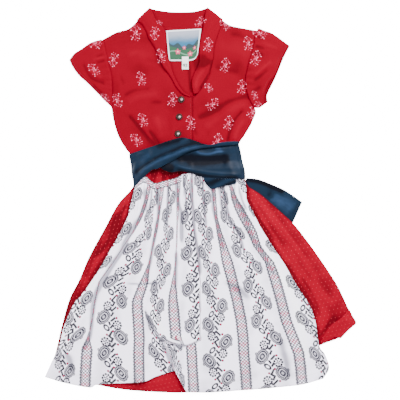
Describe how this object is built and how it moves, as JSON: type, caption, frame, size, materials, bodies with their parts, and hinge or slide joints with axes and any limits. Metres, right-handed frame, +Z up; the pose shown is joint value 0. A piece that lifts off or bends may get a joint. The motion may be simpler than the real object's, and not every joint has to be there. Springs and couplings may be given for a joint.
{
  "type": "dirndl",
  "caption": "Child's short-sleeved folk dress laid out flat on its back, with a standing collar, a gathered skirt, a printed apron and a satin sash wound round the waist.",
  "frame": {"origin": "middle of the dress's outline, on the surface that it lies on", "axes": "+Z up from the surface, +Y towards the collar, +X towards the wearer's left side, on the right as one looks down on the front"},
  "size_m": [0.466, 0.5753, 0.014],
  "materials": {
    "red_print_cotton": "matt red cotton with small pale pink flower sprigs",
    "red_dotted_cotton": "matt red cotton with tiny pale pink dots",
    "white_print_cotton": "matt white cotton printed with grey flower garlands and pink and grey lattice stripes",
    "blue_satin": "dark blue satin with a soft sheen",
    "aged_metal": "aged dark metal, worn brighter on the relief",
    "woven_label": null,
    "white_tape": "white woven tape"
  },
  "bodies": {
    "root": {"bodice_back": "red_print_cotton", "bodice_front_right": "red_print_cotton", "bodice_front_left": "red_print_cotton", "collar": "red_print_cotton", "sleeve_right": "red_print_cotton", "sleeve_left": "red_print_cotton", "skirt_back": "red_dotted_cotton", "skirt_front": "red_dotted_cotton", "skirt_hem_turnup": "red_dotted_cotton", "apron": "white_print_cotton", "sash_back": "blue_satin", "sash_tail": "blue_satin", "sash_front_lower": "blue_satin", "sash_front_upper": "blue_satin", "sash_flap": "blue_satin", "button_1": "aged_metal", "button_2": "aged_metal", "button_3": "aged_metal", "neck_label": "woven_label", "size_tag": "white_tape"}
  },
  "joints": []
}
